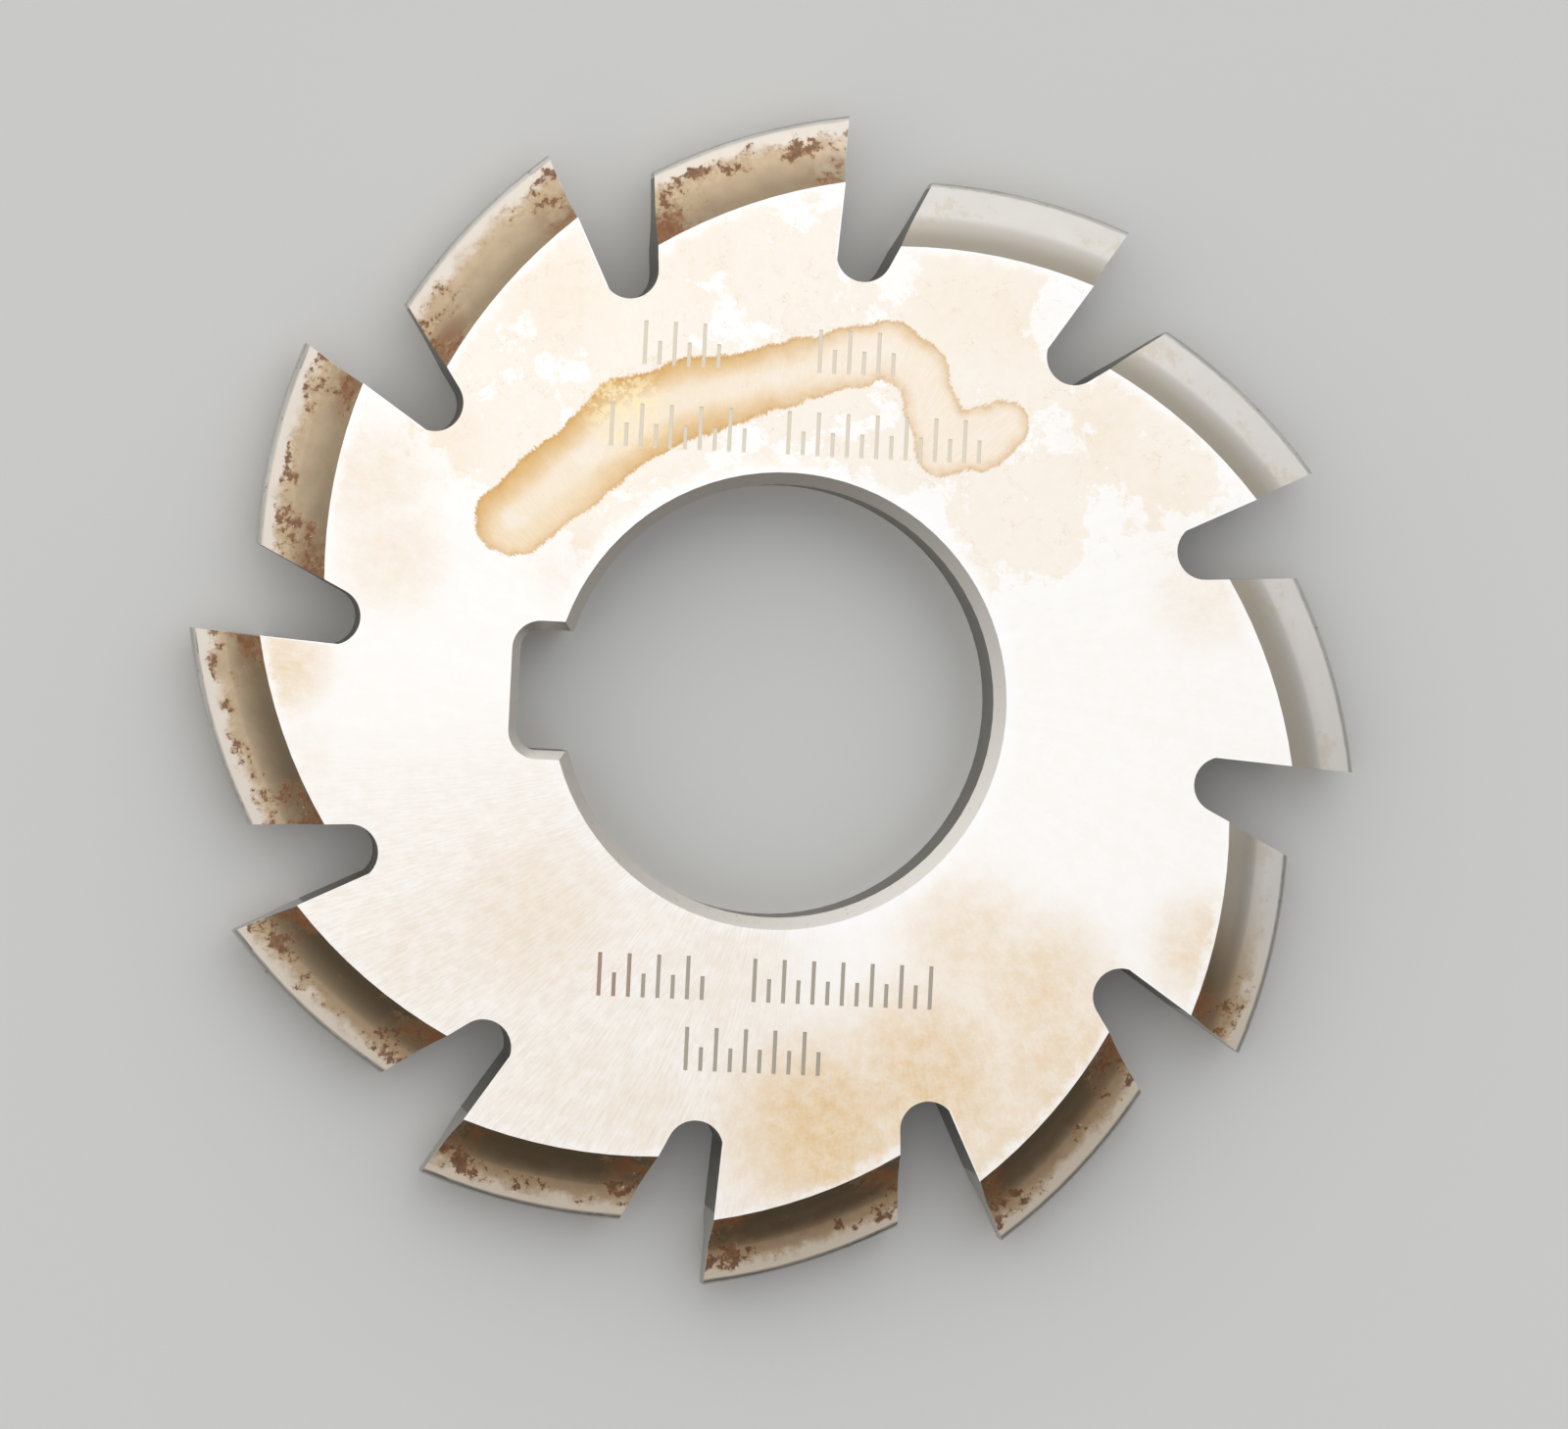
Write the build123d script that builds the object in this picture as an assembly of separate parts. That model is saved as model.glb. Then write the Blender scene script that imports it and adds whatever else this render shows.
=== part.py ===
from build123d import *
from math import acos, cos, radians, sin, tan
import os

# Form-relieved involute gear cutter: one disc of high-speed steel with a keyed bore.
# Origin: centre of the bore, half way through the thickness. +Z runs along the bore, out of the
# marked face, and the keyway lies along -X. Lengths are in millimetres, angles in degrees.

# Body and bore
outer_diameter = 60.0
thickness = 5.5
bore_diameter = 22.0
bore_chamfer = 0.6              # on both faces
keyway_width = 6.1
keyway_floor = 13.25            # from the bore's axis to the keyway's floor
keyway_chamfer = 0.45           # on both faces
keyway_corner_radius = 1.0

# Teeth. They lead clockwise as seen from +Z, so every rake face looks clockwise.
tooth_count = 12
first_tip_angle = 85.6          # one tooth's cutting edge, counterclockwise from +X
relief_per_degree = 0.1195      # fall in radius for each degree behind the cutting edge
land_angle = 22.0               # how far a tooth's land reaches behind its cutting edge
blank_lead = 1.5                # a tooth's blank starts this far ahead of its cutting edge
blank_angle = 27.5              # and turns this far, so that the gullets trim both its ends

# Cutting profile: the tooth space of a gear, with a straight flank inside the base circle
gear_module = 1.75
gear_teeth = 12
pressure_angle = 15.0
cut_depth = 3.79                # from the cutter's tip to the gear blank's outside
flank_depth = 3.5               # from the cutter's tip to where the flank meets the side face
flare_start = 1.7               # depth at which the flank begins to flare to the side face
tip_corner_radius = 0.35
flank_spans = 10

# Gullet, seen with its cutting edge on the Y axis and the open side at +X
rake_foot = (0.1, 22.55)        # where the rake face meets the round bottom
gullet_centre = (1.45, 23.05)
gullet_radius = 1.45
gullet_back_angle = 22.0        # of the back wall, from the direction of the cutting edge
gullet_mouth = 32.0             # how far out the cut is carried, past the tips

# Marks on the +Z face: groups of plain engraved strokes, by turns tall and short
stroke_width = 0.2
stroke_depth = 0.06
stroke_pitch = 0.75
tall_stroke = 2.2
short_stroke = 1.2
mark_groups = (                 # first stroke's X, foot line's Y, number of strokes
    (-7.7, 16.7, 6),
    (1.2, 16.7, 6),
    (-9.2, 12.5, 10),
    (-0.2, 12.5, 14),
    (-8.5, -15.3, 8),
    (-0.6, -15.3, 13),
    (-3.9, -18.9, 10),
)

half_thickness = thickness / 2
outer_radius = outer_diameter / 2
bore_radius = bore_diameter / 2
tooth_pitch = 360.0 / tooth_count
core_radius = rake_foot[1] + 0.05
blank_inner_radius = core_radius - 2.0

pitch_radius = gear_module * gear_teeth / 2
base_radius = pitch_radius * cos(radians(pressure_angle))
root_radius = pitch_radius + gear_module - cut_depth

# A tooth's relieved surfaces turn about an axis that stands off the bore's by the fall in radius
# per radian, at right angles to the middle of the land, on the leading side.
relief_offset = relief_per_degree / radians(1)
relief_axis = Axis(Vector(relief_offset, 0, 0).rotate(Axis.Z, land_angle / 2 - 90), (0, 0, 1))


def involute(angle):
    """Involute function of a pressure angle in radians."""
    return tan(angle) - angle


def space_half_width(depth):
    """Half the gear's tooth space, at a depth below the cutter's tip."""
    radius = root_radius + depth
    half_angle = radians(90 / gear_teeth) - involute(radians(pressure_angle))
    if radius > base_radius:
        half_angle += involute(acos(base_radius / radius))
    return radius * sin(half_angle)


def flank_half_width(depth):
    """Half the cutter's tooth, at a depth below its tip: the gear's space, flaring to the side face."""
    flare = half_thickness - space_half_width(flank_depth)
    share = max(0.0, depth - flare_start) / (flank_depth - flare_start)
    return space_half_width(depth) + flare * share**2


def flank_point(depth, side):
    """A point of the profile, on the +Z side (1) or the -Z side (-1)."""
    return (outer_radius - depth, side * flank_half_width(depth))


def flank_edges(side):
    """One flank and its side face, from the tip inwards. The flank is straight, then flares."""
    span = flank_depth / flank_spans
    curve = [flank_point(span * i, side) for i in range(flank_spans + 1)]
    start_chord = Line(curve[0], flank_point(span / 10, side))
    end_chord = Line(flank_point(flank_depth - span / 10, side), curve[-1])
    flank = Spline(*curve, tangents=(start_chord % 1, end_chord % 1))
    side_face = Line(curve[-1], (blank_inner_radius, side * half_thickness))
    return [flank, side_face]


def tooth_profile():
    """The cutting profile as a face in the XZ plane, +X outwards, with its tip corners rounded."""
    land = Line(flank_point(0, -1), flank_point(0, 1))
    inner = Line((blank_inner_radius, -half_thickness), (blank_inner_radius, half_thickness))
    outline = Curve() + [land, inner, *flank_edges(1), *flank_edges(-1)]
    face = make_face(outline.edges())
    tip_corners = face.vertices().group_by(Axis.X)[-1]
    return Plane.XZ * fillet(tip_corners, tip_corner_radius)


def tooth_blank():
    """One relieved tooth with its cutting edge along +X, before the gullets trim its ends."""
    start = tooth_profile().face().rotate(relief_axis, -blank_lead)
    return revolve(start, axis=relief_axis, revolution_arc=blank_angle)


def gullet():
    """The space in front of one cutting edge, which lies along +X."""
    back = Vector(0, 1).rotate(Axis.Z, -gullet_back_angle)
    back_start = Vector(*gullet_centre) + Vector(1, 0).rotate(Axis.Z, -gullet_back_angle) * gullet_radius
    back_end = back_start + back * ((gullet_mouth - back_start.Y) / back.Y)
    rake_slope = rake_foot[0] / (outer_radius - rake_foot[1])
    rake_end = Vector(-rake_slope * (gullet_mouth - outer_radius), gullet_mouth)
    bottom_point = Vector(*gullet_centre) - Vector(0, gullet_radius)
    outline = Curve() + [
        Line(rake_end, rake_foot),
        ThreePointArc(rake_foot, bottom_point, back_start),
        Line(back_start, back_end),
        Line(back_end, rake_end),
    ]
    face = Rot(0, 0, -90) * make_face(outline.edges())
    return extrude(face, thickness, both=True)


def round_the_teeth(shape):
    """A copy of the shape at every tooth."""
    return [Rot(0, 0, first_tip_angle + tooth_pitch * i) * shape for i in range(tooth_count)]


def bore_and_keyway():
    """The bore with its keyway, as the solid that is cut away."""
    keyway = Pos(-keyway_floor / 2, 0) * Rectangle(keyway_floor, keyway_width)
    floor_corners = keyway.vertices().group_by(Axis.X)[0]
    keyway = fillet(floor_corners, keyway_corner_radius)
    return extrude(Circle(bore_radius) + keyway, thickness, both=True)


def opening_edges(body, in_keyway):
    """The edges on both side faces round the keyway, or those round the bore."""
    side_faces = [body.faces().sort_by(Axis.Z)[0], body.faces().sort_by(Axis.Z)[-1]]
    edges = [edge for face in side_faces for wire in face.inner_wires() for edge in wire.edges()]
    return [edge for edge in edges if ((edge @ 0.5).X < -bore_radius) == in_keyway]


def strokes():
    """The engraved strokes, as the solids that are cut away."""
    cuts = []
    for first_x, foot_y, count in mark_groups:
        for i in range(count):
            height = short_stroke if i % 2 else tall_stroke
            centre = Pos(first_x + stroke_pitch * i, foot_y + height / 2, half_thickness)
            cuts.append(centre * Box(stroke_width, height, 2 * stroke_depth))
    return cuts


def gear_cutter():
    """The whole cutter, which is a single piece."""
    body = extrude(Circle(core_radius), half_thickness, both=True)
    body += round_the_teeth(tooth_blank())
    body -= round_the_teeth(gullet())
    body -= bore_and_keyway()
    body = chamfer(opening_edges(body, in_keyway=False), bore_chamfer)
    body = chamfer(opening_edges(body, in_keyway=True), keyway_chamfer)
    body -= strokes()
    return body


os.makedirs("parts", exist_ok=True)
cutter = gear_cutter()
cutter.label = "gear_cutter"
export_step(cutter, "parts/gear_cutter.step")
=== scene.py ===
import bpy
from math import hypot, radians, sin
from mathutils import Matrix, Vector
from types import SimpleNamespace


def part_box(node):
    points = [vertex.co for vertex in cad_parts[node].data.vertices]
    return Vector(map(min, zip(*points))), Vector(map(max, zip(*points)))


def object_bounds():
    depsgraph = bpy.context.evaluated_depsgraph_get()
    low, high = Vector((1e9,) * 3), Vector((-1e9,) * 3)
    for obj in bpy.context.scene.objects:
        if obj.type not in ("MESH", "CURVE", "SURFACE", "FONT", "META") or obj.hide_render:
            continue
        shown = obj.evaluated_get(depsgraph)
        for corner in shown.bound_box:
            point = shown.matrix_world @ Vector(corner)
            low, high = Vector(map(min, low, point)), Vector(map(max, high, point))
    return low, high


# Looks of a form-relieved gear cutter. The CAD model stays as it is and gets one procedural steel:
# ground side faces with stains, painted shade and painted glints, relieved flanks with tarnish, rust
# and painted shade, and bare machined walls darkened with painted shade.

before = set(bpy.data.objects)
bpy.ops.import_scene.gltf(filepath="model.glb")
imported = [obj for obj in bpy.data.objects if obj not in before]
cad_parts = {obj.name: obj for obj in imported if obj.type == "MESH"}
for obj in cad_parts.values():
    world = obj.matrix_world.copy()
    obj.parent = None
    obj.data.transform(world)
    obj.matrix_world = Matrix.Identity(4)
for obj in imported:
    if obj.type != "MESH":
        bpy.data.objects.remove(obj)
cad_low, cad_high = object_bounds()

MM = 0.001

# The cutter's own sizes, as in the CAD model, in millimetres and degrees
HALF_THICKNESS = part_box("gear_cutter")[1].z / MM
TIP_RADIUS = 30.0
TOOTH_PITCH = 30.0
FIRST_TIP_ANGLE = 85.6
RELIEF_PER_DEGREE = 0.1195
KEYWAY_REACH = 14.0
GULLET_FLOOR_RADIUS = 21.4
MARKS_FROM_CENTRE = 12.0
STROKE_DEPTH = 0.06

# Tan stains on the side faces: x, y, radius and strength, in millimetres from the bore's axis
SOFT_STAINS = (
    (21.5, 6.5, 4.0, 0.30),
    (-21.0, 10.5, 4.0, 0.42),
    (-20.0, 6.5, 4.0, 0.36),
    (-17.8, 12.2, 3.2, 0.24),
    (-11.0, 6.4, 3.0, 0.26),
    (-25.2, 0.6, 3.0, 0.60),
    (-24.0, -4.0, 2.6, 0.20),
    (-12.0, -11.5, 5.5, 0.32),
    (-17.5, -13.5, 4.5, 0.20),
    (10.2, -11.8, 4.5, 0.50),
    (14.0, -14.0, 5.0, 0.60),
    (8.5, -19.0, 6.5, 0.76),
    (15.5, -18.0, 6.0, 0.62),
    (12.5, -22.0, 5.0, 0.56),
    (3.2, -21.5, 6.0, 0.84),
    (22.4, -11.6, 3.6, 0.54),
    (-9.5, -20.0, 5.5, 0.18),
    (-5.8, -21.0, 3.0, 0.26),
    (-1.5, -14.3, 5.0, 0.20),
    (-12.4, 19.8, 4.0, 0.20),
    (-5.0, 22.3, 3.5, 0.14),
    (8.2, 20.8, 3.5, 0.18),
    (11.2, 20.0, 3.0, 0.20),
    (15.5, 14.5, 3.5, 0.20),
    (19.0, 10.5, 3.5, 0.18),
)
# The dried tide mark across the marked face: x, y and half width along its middle, in millimetres
TIDE_MARK = (
    (-14.0, 8.6, 1.9),
    (-11.0, 11.2, 2.0),
    (-8.4, 13.7, 2.2),
    (-5.4, 15.1, 2.0),
    (-1.0, 16.3, 1.6),
    (2.6, 17.6, 1.5),
    (4.6, 18.2, 1.4),
    (6.4, 17.0, 1.4),
    (7.1, 15.1, 1.4),
    (7.8, 13.4, 1.5),
    (9.6, 13.7, 1.6),
    (10.9, 14.6, 1.2),
)
TIDE_UPPER_EDGE = (0.45, 13.2)      # slope and height of the line between its upper and lower edges
TIDE_CRUST = (-8.6, 14.4, 2.9)      # middle and radius of the crusty stretch of its upper edge


def linear(red, green, blue):
    """A colour given as 0 to 255 screen values, as the linear values that shaders take."""
    def channel(value):
        share = value / 255
        return share / 12.92 if share <= 0.04045 else ((share + 0.055) / 1.055) ** 2.4
    return (channel(red), channel(green), channel(blue), 1.0)


class Graph:
    """Short calls for building one material's node graph."""

    def __init__(self, name):
        self.material = bpy.data.materials.new(name)
        self.material.use_nodes = True
        self.tree = self.material.node_tree
        self.tree.nodes.clear()

    def put(self, socket, value):
        if isinstance(value, bpy.types.NodeSocket):
            self.tree.links.new(value, socket)
        else:
            socket.default_value = value

    def node(self, kind, named=None, **settings):
        """A node with its settings, and with values or links for the inputs named."""
        made = self.tree.nodes.new("ShaderNode" + kind)
        for key, value in settings.items():
            setattr(made, key, value)
        for key, value in (named or {}).items():
            self.put(made.inputs[key], value)
        return made

    def math(self, operation, *values):
        return self.node("Math", dict(enumerate(values)), operation=operation).outputs[0]

    def vector(self, operation, *values):
        made = self.node("VectorMath", dict(enumerate(values)), operation=operation)
        return made.outputs["Value" if operation in ("LENGTH", "DISTANCE", "DOT_PRODUCT") else "Vector"]

    def scaled(self, vector, factor):
        made = self.node("VectorMath", {0: vector, "Scale": factor}, operation="SCALE")
        return made.outputs["Vector"]

    def combine(self, x, y, z=0.0):
        return self.node("CombineXYZ", {"X": x, "Y": y, "Z": z}).outputs[0]

    def rise(self, value, start, end):
        """0 before start and 1 after end, smooth between them. It falls where end is below start."""
        named = {"Value": value, "From Min": start, "From Max": end}
        return self.node("MapRange", named, interpolation_type="SMOOTHSTEP").outputs[0]

    def noise(self, vector, scale, detail=3.0, roughness=0.55):
        named = {"Vector": vector, "Scale": scale, "Detail": detail, "Roughness": roughness}
        return self.node("TexNoise", named).outputs["Fac"]

    def mix(self, factor, first, second):
        """Colour first where factor is 0, second where it is 1."""
        made = self.node("Mix", {0: factor, 6: first, 7: second}, data_type="RGBA")
        return made.outputs[2]

    def blend(self, factor, first, second):
        """The same for a plain number."""
        return self.node("Mix", {0: factor, 2: first, 3: second}).outputs[0]

    def all_of(self, *masks):
        product = masks[0]
        for mask in masks[1:]:
            product = self.math("MULTIPLY", product, mask)
        return product

    def inverse(self, mask):
        return self.math("SUBTRACT", 1.0, mask)

    def bump(self, height, depth_mm, normal=None):
        named = {"Height": height, "Distance": depth_mm * MM}
        if normal is not None:
            named["Normal"] = normal
        return self.node("Bump", named).outputs["Normal"]


def place_on_cutter(g):
    """Where a surface point lies: in millimetres, and in each tooth's own measures."""
    point = g.scaled(g.node("TexCoord").outputs["Object"], 1 / MM)
    x, y, z = g.node("SeparateXYZ", {0: point}).outputs
    normal_z = g.node("SeparateXYZ", {0: g.node("TexCoord").outputs["Normal"]}).outputs[2]
    flat = g.combine(x, y)
    radius = g.vector("LENGTH", flat)
    angle = g.math("DEGREES", g.math("ARCTAN2", y, x))
    turned = g.math("SUBTRACT", angle, FIRST_TIP_ANGLE)
    behind = g.math("FLOORED_MODULO", turned, TOOTH_PITCH)
    tooth = g.math("FLOOR", g.math("DIVIDE", turned, TOOTH_PITCH))
    land_radius = g.math("SUBTRACT", TIP_RADIUS, g.math("MULTIPLY", behind, RELIEF_PER_DEGREE))
    return SimpleNamespace(
        point=point, flat=flat, x=x, y=y, z=z, radius=radius, angle=angle,
        height=g.math("ABSOLUTE", z),
        level=g.math("ABSOLUTE", normal_z),
        behind=behind,
        depth=g.math("SUBTRACT", land_radius, radius),
        chance=g.node("TexWhiteNoise", {"W": tooth}, noise_dimensions="1D").outputs["Value"],
    )


def surfaces(g, at):
    """Masks that tell the cutter's surfaces apart."""
    face = g.rise(at.height, HALF_THICKNESS - 0.012, HALF_THICKNESS - 0.004)
    off_face = g.inverse(face)
    outside = g.rise(at.radius, GULLET_FLOOR_RADIUS - 0.1, GULLET_FLOOR_RADIUS)
    inside = g.rise(at.radius, KEYWAY_REACH + 0.1, KEYWAY_REACH)
    sloping = g.rise(at.level, 0.02, 0.06)
    upright = g.inverse(sloping)
    land = g.all_of(off_face, outside, g.rise(at.depth, 0.32, 0.22), g.rise(at.level, 0.97, 0.90))
    above_floor = g.rise(at.z, HALF_THICKNESS - 2 * STROKE_DEPTH, HALF_THICKNESS - 1.5 * STROKE_DEPTH)
    marked = g.math("GREATER_THAN", g.math("ABSOLUTE", at.y), MARKS_FROM_CENTRE)
    return SimpleNamespace(
        face=face,
        flank=g.all_of(off_face, outside, sloping),
        land=land,
        rake=g.all_of(upright, outside, g.rise(at.behind, 1.0, 0.5), g.rise(at.radius, 22.6, 22.8)),
        wall=g.all_of(upright, inside),
        chamfer=g.all_of(off_face, sloping, inside),
        stroke=g.all_of(off_face, above_floor, marked, g.inverse(outside)),
    )


def wave(g, noise, size):
    """A noise from 0 to 1 as an offset around zero."""
    return g.math("MULTIPLY", g.math("SUBTRACT", noise, 0.5), size)


def towards(g, at, direction):
    """1 on the side of the cutter that faces a direction in degrees, -1 on the far side."""
    return g.math("COSINE", g.math("RADIANS", g.math("SUBTRACT", at.angle, direction)))


def grinding(g, at):
    """Fine streaks from the bore outwards, swept back a little, as a face grinder leaves them."""
    sweep = g.math("MULTIPLY", g.math("LOGARITHM", at.radius, 2.718), 9.0)
    across = g.math("ADD", at.angle, sweep)

    def streaks(per_degree, per_mm, detail):
        place = g.combine(g.math("MULTIPLY", across, per_degree), g.math("MULTIPLY", at.radius, per_mm))
        return g.noise(place, 1.0, detail, 0.65)

    return SimpleNamespace(fine=streaks(2.6, 0.80, 5.0), broad=streaks(0.3, 0.05, 3.0))


def tide_distance(g, at, lines):
    """Signed distance to the tide mark's outline, negative inside it, with a feathery edge."""
    nearest = None
    for (ax, ay, start), (bx, by, end) in zip(TIDE_MARK, TIDE_MARK[1:]):
        length = hypot(bx - ax, by - ay)
        along = ((bx - ax) / length, (by - ay) / length, 0.0)
        offset = g.vector("SUBTRACT", at.flat, (ax, ay, 0.0))
        share = g.math("DIVIDE", g.vector("DOT_PRODUCT", offset, along), length)
        share = g.node("Clamp", {"Value": share}).outputs[0]
        foot = g.scaled((bx - ax, by - ay, 0.0), share)
        away = g.vector("LENGTH", g.vector("SUBTRACT", offset, foot))
        distance = g.math("SUBTRACT", away, g.blend(share, start, end))
        nearest = distance if nearest is None else g.math("SMOOTH_MIN", nearest, distance, 0.5)
    bends = wave(g, g.noise(at.flat, 0.45, 2.0), 0.9)
    hairs = wave(g, g.noise(at.flat, 6.0, 3.0, 0.7), 0.40)
    combed = wave(g, lines.fine, 0.45)
    return g.math("ADD", nearest, g.math("ADD", bends, g.math("ADD", hairs, combed)))


def stain_depth(g, at):
    """How deeply the soft stains colour a point, from 0 to 1."""
    deepest = None
    for x, y, radius, strength in SOFT_STAINS:
        away = g.vector("LENGTH", g.vector("SUBTRACT", at.flat, (x, y, 0.0)))
        value = g.math("MULTIPLY", g.rise(away, radius * 1.35, radius * 0.15), strength)
        deepest = value if deepest is None else g.math("SMOOTH_MAX", deepest, value, 0.15)
    return deepest


def tide_mark(g, at, lines, color):
    """The dried pool: golden at its rim and fading inwards, widest on the upper side."""
    distance = tide_distance(g, at, lines)
    within = g.all_of(g.rise(distance, 0.06, -0.10), g.math("GREATER_THAN", at.z, 0.0))
    slope, height = TIDE_UPPER_EDGE
    above = g.math("SUBTRACT", at.y, g.math("ADD", g.math("MULTIPLY", at.x, slope), height))
    upper = g.rise(above, 0.4, 3.0)
    left = g.rise(at.x, 4.0, -6.0)
    mottle = g.noise(at.flat, 2.0, 5.0, 0.7)

    pool = g.mix(left, linear(252, 241, 226), linear(246, 228, 200))
    combed = g.math("MULTIPLY", g.rise(lines.fine, 0.62, 0.40), g.blend(left, 0.25, 0.45))
    pool = g.mix(combed, pool, linear(236, 210, 172))
    filled = g.math("MULTIPLY", within, g.blend(g.rise(distance, -1.7, -0.9), 0.55, 1.0))
    color = g.mix(filled, color, pool)

    reach = g.blend(upper, -0.75, g.blend(left, -1.0, -1.7))
    band = g.all_of(within, g.rise(g.math("ADD", distance, wave(g, mottle, 0.6)), reach, 0.1))
    depth = g.blend(upper, 0.5, g.blend(left, 0.62, 0.95))
    color = g.mix(g.math("MULTIPLY", band, depth), color, linear(226, 182, 114))
    rim_depth = g.blend(upper, 0.35, g.blend(left, 0.5, 0.75))
    rim = g.all_of(within, g.rise(distance, -0.26, -0.02), rim_depth)
    color = g.mix(g.math("MULTIPLY", rim, g.rise(mottle, 0.25, 0.6)), color, linear(208, 158, 94))

    x, y, radius = TIDE_CRUST
    near = g.rise(g.vector("DISTANCE", at.flat, (x, y, 0.0)), radius, radius * 0.3)
    crust = g.all_of(within, near, g.rise(g.noise(at.flat, 2.2, 4.0, 0.65), 0.46, 0.54))
    color = g.mix(g.math("MULTIPLY", crust, 0.75), color, linear(255, 238, 192))
    return color, g.math("MAXIMUM", band, g.math("MULTIPLY", within, 0.4))


def face_finish(g, at):
    """Ground side face: bright steel with a cream film, tan stains and the golden tide mark, painted
    shade over the streaky lower-left sector, and painted glints along the grinding lines.
    """
    lines = grinding(g, at)
    mottle = g.noise(at.flat, 1.1, 6.0, 0.68)
    speck = g.noise(at.flat, 5.5, 4.0, 0.7)
    stain = stain_depth(g, at)

    # Towards the lower left the grinding streaks show stronger and the colour is darker: real streaks,
    # with painted shade for the darker sector of the brushed reflection.
    lower_left_streaks_and_shade = g.rise(towards(g, at, -125.0), 0.55, 0.95)
    bright = g.mix(lines.broad, linear(250, 249, 248), linear(255, 255, 255))
    fine = g.rise(lines.fine, 0.35, 0.65)
    streaked_and_shaded = g.mix(fine, linear(237, 230, 222), linear(251, 248, 245))
    lower_left_streaks_and_shade = g.math("MULTIPLY", lower_left_streaks_and_shade, g.blend(g.rise(mottle, 0.3, 0.6), 0.55, 1.1))
    color = g.mix(g.math("MULTIPLY", lower_left_streaks_and_shade, 0.85), bright, streaked_and_shaded)
    glints = g.math("MULTIPLY", g.rise(lines.fine, 0.60, 0.72), g.blend(lower_left_streaks_and_shade, 0.15, 0.6))
    color = g.mix(glints, color, linear(255, 255, 254))

    wander = wave(g, mottle, 1.6)
    border = g.rise(g.math("ADD", at.depth, wander), 3.4, 4.2)
    border = g.all_of(border, g.rise(g.math("ADD", at.radius, wander), 11.5, 12.6))
    weathered = g.rise(towards(g, at, 86.0), 0.25, 0.65)
    spread = g.math("ADD", g.noise(at.flat, 0.17, 9.0, 0.66), g.math("MULTIPLY", stain, 0.3))
    spread = g.math("ADD", spread, g.blend(weathered, -0.30, 0.01))
    film = g.all_of(g.rise(spread, 0.475, 0.515), g.rise(speck, 0.66, 0.60), border)
    color = g.mix(g.math("MULTIPLY", film, 0.75), color, linear(253, 246, 236))
    shore = g.all_of(film, g.rise(spread, 0.545, 0.485))
    color = g.mix(g.math("MULTIPLY", shore, 0.2), color, linear(246, 228, 202))
    chalk = g.all_of(g.rise(spread, 0.44, 0.47), g.rise(spread, 0.52, 0.49))
    chalk = g.all_of(chalk, g.rise(speck, 0.50, 0.56), weathered)
    color = g.mix(chalk, color, linear(255, 255, 255))

    cloud = g.math("ADD", mottle, g.math("ADD", wave(g, lines.fine, 0.3), wave(g, speck, 0.5)))
    patchy = g.blend(weathered, 1.0, g.blend(film, 0.6, 1.3))
    tan = g.all_of(stain, patchy, g.blend(g.rise(cloud, 0.2, 0.8), 0.62, 1.22), g.blend(border, 0.3, 1.0))
    color = g.mix(tan, color, linear(236, 204, 154))
    crack = g.math("ABSOLUTE", g.math("SUBTRACT", g.noise(at.flat, 0.55, 5.0, 0.6), 0.5))
    crack = g.all_of(g.rise(crack, 0.010, 0.002), g.rise(mottle, 0.48, 0.56), weathered, border)
    color = g.mix(g.math("MULTIPLY", crack, 0.3), color, linear(220, 188, 146))

    color, tide = tide_mark(g, at, lines, color)

    pits = g.all_of(g.rise(speck, 0.64, 0.74), g.blend(stain, 0.04, 0.9), border)
    color = g.mix(g.math("MULTIPLY", pits, 0.4), color, linear(190, 160, 122))
    stained = g.math("MAXIMUM", g.math("MULTIPLY", film, 0.35), g.math("MAXIMUM", tan, tide))
    return SimpleNamespace(
        color=color,
        metallic=g.blend(stained, 1.0, 0.92),
        roughness=g.blend(stained, g.blend(lines.fine, 0.28, 0.38), 0.40),
        height=g.math("ADD", lines.fine, g.math("MULTIPLY", speck, 0.5)),
    )


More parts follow.
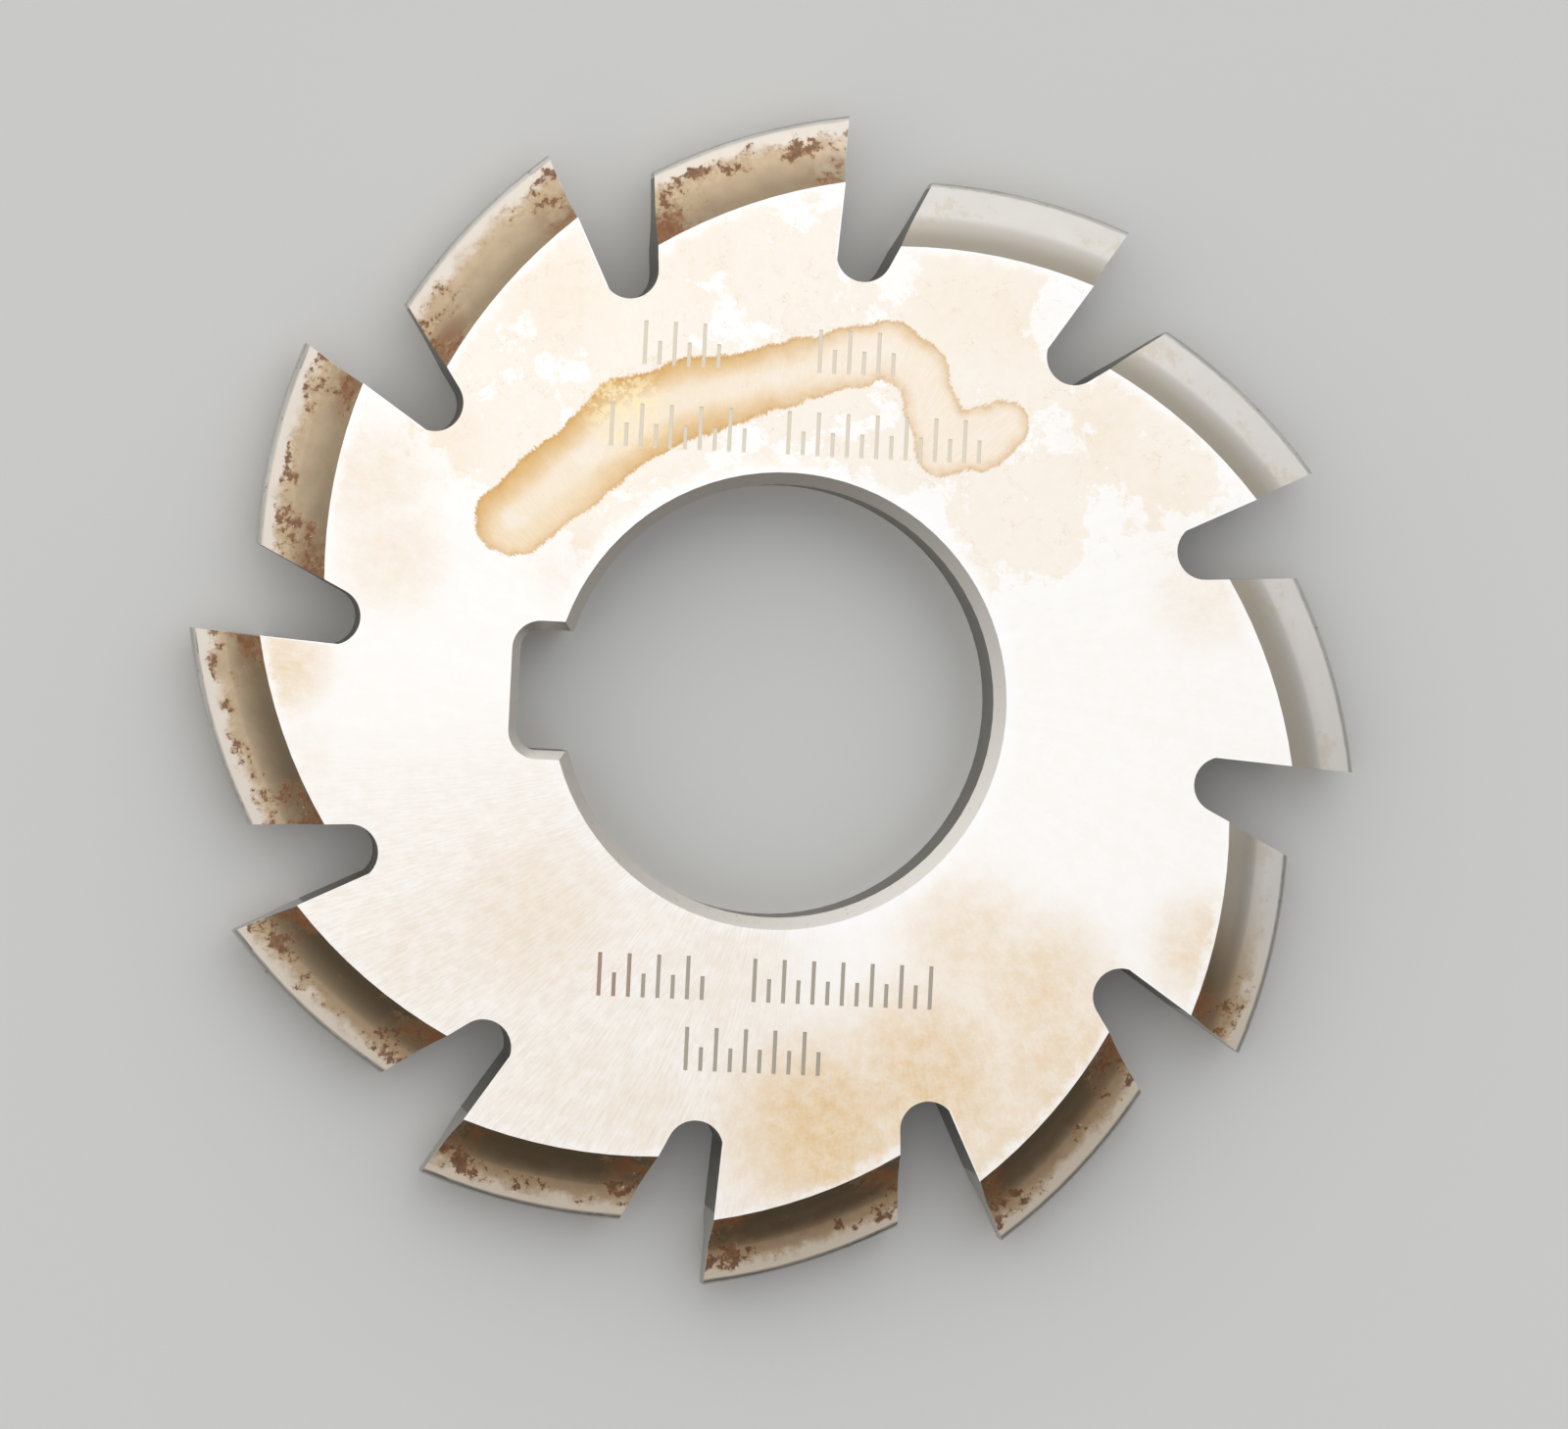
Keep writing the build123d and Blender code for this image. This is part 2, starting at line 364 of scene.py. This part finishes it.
def flank_finish(g, at):
    """Relieved flank: bare near the tip, under a tarnish film further in, with rust at both ends, and
    painted shade that darkens it further in and on the lower side.
    """
    warm = g.rise(towards(g, at, 30.0), 0.68, 0.48)
    # The lower side of the cutter gets browner, darker flank colours: brown tarnish with painted shade.
    brown = g.rise(towards(g, at, -85.0), 0.1, 0.85)
    mottle = g.noise(at.point, 0.8, 5.0, 0.62)
    grit = g.noise(at.point, 3.0, 5.0, 0.7)
    ragged = g.math("ADD", at.depth, g.math("ADD", wave(g, mottle, 1.7), wave(g, grit, 0.5)))

    # Bare steel colour darkens and warms further in from the tip: light tarnish, with painted shade where
    # the flank steepens.
    bare = g.mix(g.rise(at.depth, 1.4, 3.0), linear(217, 213, 208), linear(198, 190, 176))
    tinted_and_shaded = g.mix(brown, linear(232, 222, 210), linear(220, 206, 188))
    color = g.mix(warm, bare, tinted_and_shaded)
    # Tarnish colour, browner and darker on the lower side: real tarnish with painted shade.
    tarnish = g.mix(brown, linear(208, 184, 150), linear(160, 131, 98))
    tarnish = g.mix(g.math("MULTIPLY", g.rise(mottle, 0.35, 0.7), 0.5), tarnish, linear(184, 162, 132))
    film = g.all_of(g.rise(ragged, 0.60, 1.40), warm)
    color = g.mix(g.math("MULTIPLY", film, 0.9), color, tarnish)
    # Painted shade: flanks on the lower side darken to dark brown further in, where they slope steeply up
    # to the face.
    deep_lower_shade = g.blend(g.rise(towards(g, at, -100.0), -0.5, 0.75), 0.22, 0.84)
    color = g.mix(g.all_of(deep_lower_shade, warm, g.rise(at.depth, 1.5, 3.3)), color, linear(78, 66, 44))

    ends = g.math("MAXIMUM", g.rise(at.behind, 7.0, 0.8), g.rise(at.behind, 13.0, 20.0))
    shore = g.math("MULTIPLY", g.rise(ragged, 0.5, 0.95), g.rise(ragged, 2.6, 1.2))
    at_ends = g.math("MULTIPLY", ends, g.rise(at.depth, 0.4, 1.2))
    amount = g.math("ADD", g.math("MULTIPLY", shore, 0.75), at_ends)
    side_share = g.blend(warm, 0.55, g.blend(brown, 1.06, 0.9))
    amount = g.all_of(amount, side_share, g.blend(at.chance, 0.92, 1.08))
    specks = wave(g, g.noise(at.point, 3.0, 5.0, 0.65), 0.95)
    clusters = g.math("ADD", g.noise(at.point, 0.7, 2.0), specks)
    over_line = g.math("SUBTRACT", clusters, g.blend(amount, 0.88, 0.52))
    rust = g.all_of(g.rise(over_line, -0.01, 0.09), warm)
    halo = g.rise(over_line, -0.16, 0.02)
    rust_and_shade_color = g.mix(g.rise(grit, 0.35, 0.65), linear(180, 136, 102), linear(136, 92, 64))
    # Rust colour darker on the lower side: browner rust with painted shade.
    lower_rust_and_shade = g.mix(g.rise(grit, 0.35, 0.65), linear(146, 98, 62), linear(92, 54, 34))
    rust_and_shade_color = g.mix(brown, rust_and_shade_color, lower_rust_and_shade)
    halo_color = g.mix(warm, linear(206, 190, 164), linear(186, 154, 112))
    color = g.mix(g.math("MULTIPLY", halo, 0.4), color, halo_color)
    color = g.mix(g.math("MULTIPLY", rust, 0.85), color, rust_and_shade_color)

    corner = g.all_of(ends, ends, g.rise(at.depth, 1.7, 2.8), g.rise(mottle, 0.38, 0.58), warm)
    color = g.mix(g.math("MULTIPLY", corner, g.blend(brown, 0.6, 0.8)), color, linear(148, 92, 50))
    # White flecks by the rust: mineral specks with painted glints.
    specks_and_glints = g.all_of(halo, warm, g.rise(g.noise(at.point, 5.0, 2.0), 0.70, 0.76))
    color = g.mix(specks_and_glints, color, linear(232, 222, 214))

    across = g.math("MULTIPLY", at.depth, 9.0)
    lines = g.noise(g.combine(across, g.math("MULTIPLY", at.angle, 0.15), at.z), 1.0, 3.0)
    coated = g.math("MAXIMUM", rust, g.math("MULTIPLY", corner, 0.6))
    return SimpleNamespace(
        color=color,
        metallic=g.blend(coated, g.blend(film, 1.0, 0.9), 0.15),
        roughness=g.blend(coated, g.blend(mottle, 0.34, 0.46), 0.8),
        height=g.math("SUBTRACT", g.math("MULTIPLY", lines, 0.3), g.math("MULTIPLY", rust, grit)),
    )


def wall_finish(g, at):
    """Bore, keyway and gullets: machined walls, darkened with painted shade, with tool lines and light
    tarnish.
    """
    around = g.combine(g.math("MULTIPLY", at.z, 9.0), g.math("MULTIPLY", at.angle, 0.03))
    rings = g.noise(around, 1.0, 4.0, 0.7)
    mottle = g.noise(at.point, 0.8, 5.0, 0.6)
    # The dark wall colour is painted shade, standing for the dark reflections the walls pick up.
    color = g.mix(mottle, linear(102, 100, 92), linear(136, 133, 124))
    color = g.mix(g.rise(g.noise(at.point, 2.2, 5.0, 0.7), 0.60, 0.72), color, linear(118, 94, 70))
    return SimpleNamespace(
        color=color,
        metallic=1.0,
        roughness=g.blend(rings, 0.3, 0.48),
        height=rings,
    )


def rim_finish(g, at):
    """Relief-ground top of each tooth: lines along the cut, darker below with painted shade, with small
    brown specks.
    """
    along = g.combine(g.math("MULTIPLY", at.z, 7.0), g.math("MULTIPLY", at.angle, 0.08))
    lines = g.noise(along, 1.0, 5.0, 0.7)
    # Painted shade: the rims on the lower side of the cutter are darker.
    rim_shade_below = g.rise(towards(g, at, -80.0), -0.2, 0.8)
    color = g.mix(rim_shade_below, linear(212, 210, 204), linear(196, 193, 186))
    color = g.mix(g.rise(lines, 0.35, 0.65), g.mix(0.35, color, linear(120, 116, 108)), color)
    specks = g.rise(g.noise(at.point, 2.4, 5.0, 0.7), 0.60, 0.68)
    color = g.mix(g.math("MULTIPLY", specks, 0.55), color, linear(140, 108, 78))
    return SimpleNamespace(
        color=color,
        metallic=1.0,
        roughness=g.blend(lines, 0.30, 0.42),
        height=lines,
    )


def rake_finish(g, at):
    """Cutting face of each tooth, ground flat from the rim inwards."""
    inwards = g.combine(g.math("MULTIPLY", at.radius, 0.3), g.math("MULTIPLY", at.z, 8.0))
    lines = g.noise(inwards, 1.0, 5.0, 0.7)
    color = g.mix(g.rise(lines, 0.35, 0.65), linear(186, 181, 173), linear(212, 209, 203))
    dulled = g.rise(g.noise(at.point, 0.9, 5.0, 0.65), 0.45, 0.65)
    color = g.mix(g.math("MULTIPLY", dulled, 0.5), color, linear(178, 158, 130))
    return SimpleNamespace(
        color=color,
        metallic=1.0,
        roughness=g.blend(lines, 0.24, 0.36),
        height=lines,
    )


def over(g, mask, finish, below):
    """One finish laid over another where the mask is 1."""
    return SimpleNamespace(
        color=g.mix(mask, below.color, finish.color),
        metallic=g.blend(mask, below.metallic, finish.metallic),
        roughness=g.blend(mask, below.roughness, finish.roughness),
        height=g.blend(mask, below.height, finish.height),
    )


def body_finish(g, at, on):
    """Everything but the side faces."""
    wall = wall_finish(g, at)
    finish = over(g, on.flank, flank_finish(g, at), wall)
    speck = g.rise(g.noise(at.point, 3.5, 4.0, 0.7), 0.60, 0.72)
    chamfer = SimpleNamespace(
        color=g.mix(g.math("MULTIPLY", speck, 0.4), linear(250, 245, 237), linear(176, 150, 122)),
        metallic=1.0,
        roughness=0.34,
        height=wall.height,
    )
    finish = over(g, on.chamfer, chamfer, finish)
    finish = over(g, on.land, rim_finish(g, at), finish)
    finish = over(g, on.rake, rake_finish(g, at), finish)
    lower_rows = g.rise(at.y, 0.0, -1.0)
    faint = g.mix(lower_rows, linear(244, 235, 217), linear(190, 182, 168))
    rusty = g.all_of(lower_rows, g.rise(at.x, -6.0, -7.5))
    stroke = SimpleNamespace(
        color=g.mix(rusty, faint, linear(188, 160, 140)),
        metallic=0.7,
        roughness=0.5,
        height=wall.height,
    )
    return over(g, on.stroke, stroke, finish)


def principled(g, finish, bump_mm, anisotropy=0.0):
    """A metal shader with a finish, and its lines as bump."""
    named = {
        "Base Color": finish.color,
        "Metallic": finish.metallic,
        "Roughness": finish.roughness,
        "Normal": g.bump(finish.height, bump_mm),
    }
    if anisotropy:
        named["Anisotropic"] = anisotropy
        named["Tangent"] = g.node("Tangent", direction_type="RADIAL", axis="Z").outputs[0]
    return g.node("BsdfPrincipled", named).outputs[0]


def tool_steel():
    """The cutter's whole surface as one material."""
    g = Graph("tool_steel_looks")
    at = place_on_cutter(g)
    on = surfaces(g, at)
    side_face = principled(g, face_finish(g, at), 0.002, anisotropy=0.45)
    body = principled(g, body_finish(g, at, on), 0.004)
    shader = g.node("MixShader", {0: on.face, 1: body, 2: side_face}).outputs[0]
    g.node("OutputMaterial", {"Surface": shader})
    return g.material


def dress_cutter():
    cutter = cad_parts["gear_cutter"]
    for slot in cutter.material_slots:
        slot.material = tool_steel()


def plain_material(name, color, roughness):
    g = Graph(name)
    shader = g.node("BsdfPrincipled", {"Base Color": color, "Roughness": roughness}).outputs[0]
    g.node("OutputMaterial", {"Surface": shader})
    return g.material


def add(name, data):
    made = bpy.data.objects.new(name, data)
    bpy.context.scene.collection.objects.link(made)
    return made


def make_floor():
    """A plain pale floor that the cutter lies on."""
    reach = 1.5
    corners = [(-reach, -reach), (reach, -reach), (reach, reach), (-reach, reach)]
    mesh = bpy.data.meshes.new("floor")
    mesh.from_pydata([(x, y, cad_low.z) for x, y in corners], [], [(0, 1, 2, 3)])
    mesh.materials.append(plain_material("floor_paint", linear(232, 232, 230), 0.8))
    add("floor", mesh)


def make_camera():
    """Nearly square to the marked face, leaning a few degrees towards the keyway."""
    lean_x = sin(radians(-5.98))
    lean_y = sin(radians(1.10))
    distance = 0.390
    target = Vector((0.504, -0.725, 0.0)) * MM
    back = Vector((lean_x, lean_y, (1 - lean_x**2 - lean_y**2) ** 0.5))
    right = Vector((0, 1, 0)).cross(back).normalized()
    view = Matrix((right, back.cross(right), back)).transposed().to_4x4()
    view.translation = target + back * distance
    data = bpy.data.cameras.new("camera")
    data.sensor_width = 36.0
    data.lens = 175.4
    data.clip_start = 0.01
    camera = add("camera", data)
    camera.matrix_world = Matrix.Rotation(radians(2.79), 4, "Z") @ view
    bpy.context.scene.camera = camera


def soft_light(name, width, length, radiance, place):
    """A rectangular light that faces the cutter, with its length along Y."""
    data = bpy.data.lights.new(name, "AREA")
    data.shape = "RECTANGLE"
    data.size = width
    data.size_y = length
    data.energy = radiance * 4 * width * length
    light = add(name, data)
    light.location = place
    light.rotation_euler = Vector(place).to_track_quat("Z", "Y").to_euler()


def make_world():
    """A soft surround that is brightest at the top of the picture and dim at its foot."""
    world = bpy.data.worlds.new("surround")
    world.use_nodes = True
    nodes, links = world.node_tree.nodes, world.node_tree.links
    direction = nodes.new("ShaderNodeTexCoord").outputs["Generated"]
    dot = nodes.new("ShaderNodeVectorMath")
    dot.operation = "DOT_PRODUCT"
    dot.inputs[1].default_value = Vector((-0.4, 1.0, 0.2)).normalized()
    links.new(direction, dot.inputs[0])
    spread = nodes.new("ShaderNodeMapRange")
    spread.inputs["From Min"].default_value = -0.9
    spread.inputs["From Max"].default_value = 0.9
    spread.inputs["To Min"].default_value = 0.10
    spread.inputs["To Max"].default_value = 0.98
    links.new(dot.outputs["Value"], spread.inputs["Value"])
    links.new(spread.outputs[0], nodes["Background"].inputs["Strength"])
    nodes["Background"].inputs["Color"].default_value = (1.0, 1.0, 1.0, 1.0)
    bpy.context.scene.world = world
    bpy.context.scene.view_settings.view_transform = "Standard"


make_camera()
make_world()
soft_light("overhead", 0.36, 0.60, 0.42, (0.05, 0.08, 0.45))
make_floor()
dress_cutter()
